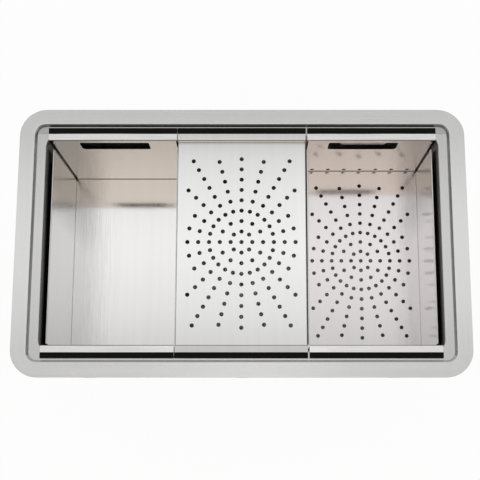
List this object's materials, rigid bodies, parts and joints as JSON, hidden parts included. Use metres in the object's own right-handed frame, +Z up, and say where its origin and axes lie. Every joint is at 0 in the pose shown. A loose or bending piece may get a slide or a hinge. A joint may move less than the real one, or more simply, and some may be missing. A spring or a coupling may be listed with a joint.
{
  "type": "workstation kitchen sink",
  "caption": "Drop-in stainless steel workstation sink: wide flat rim, recessed ledge, deep bowl, with a lift-out bin, perforated tray and colander side by side on the ledge.",
  "frame": {"origin": "centre of the rim, in the worktop's top plane, which is the underside of the rim seal", "axes": "+X along the sink to the right as seen from the user, +Y to the back, +Z up out of the worktop"},
  "size_m": [0.83, 0.503, 0.3957],
  "materials": {
    "rim_steel": "fine brushed satin",
    "bowl_steel": "brushed satin",
    "accessory_steel": "fine brushed satin along Y",
    "glide_plastic": "black, fine matt",
    "seal_foam": "closed-cell foam",
    "pad_rubber": "matt mass-loaded rubber",
    "rail_steel": "plain rolled",
    "clip_steel": "zinc plated",
    "screw_zinc": "zinc plated",
    "strainer_steel": "satin",
    "stopper_rubber": "black rubber",
    "ring_card": "fibre card",
    "nut_zinc": "cast zinc",
    "pipe_chrome": "polished",
    "washer_nylon": "nylon"
  },
  "bodies": {
    "sink": {"rim_deck": "rim_steel", "rim_seal": "seal_foam", "bowl_shell": "bowl_steel", "clip_rail_front": "rail_steel", "clip_rail_back": "rail_steel", "clip_rail_left": "rail_steel", "clip_rail_right": "rail_steel", "worktop_clips": "clip_steel", "clip_screws": "screw_zinc", "sound_pad_front": "pad_rubber", "sound_pad_back": "pad_rubber", "sound_pad_left": "pad_rubber", "sound_pad_right": "pad_rubber", "sound_pad_floor": "pad_rubber", "strainer_body": "strainer_steel", "strainer_gasket": "stopper_rubber", "friction_ring": "ring_card", "strainer_locknut": "nut_zinc", "tailpiece": "pipe_chrome", "tailpiece_washer": "washer_nylon", "tailpiece_nut": "nut_zinc"},
    "basket": {"strainer_basket": "strainer_steel", "basket_stopper": "stopper_rubber", "basket_post": "strainer_steel"},
    "bin": {"bin_shell": "accessory_steel", "bin_glide_back": "glide_plastic", "bin_glide_front": "glide_plastic"},
    "tray": {"drainer_tray": "accessory_steel", "tray_glide_back": "glide_plastic", "tray_glide_front": "glide_plastic"},
    "colander": {"colander_shell": "accessory_steel", "colander_glide_back": "glide_plastic", "colander_glide_front": "glide_plastic"}
  },
  "joints": [
    {"name": "bin_lift", "type": "slide", "parent": "sink", "child": "bin", "axis": [0, 0, 1], "range_m": [0, 0.23]},
    {"name": "tray_lift", "type": "slide", "parent": "sink", "child": "tray", "axis": [0, 0, 1], "range_m": [0, 0.06]},
    {"name": "colander_lift", "type": "slide", "parent": "sink", "child": "colander", "axis": [0, 0, 1], "range_m": [0, 0.18]},
    {"name": "basket_lift", "type": "slide", "parent": "sink", "child": "basket", "axis": [0, 0, 1], "range_m": [0, 0.12]}
  ]
}
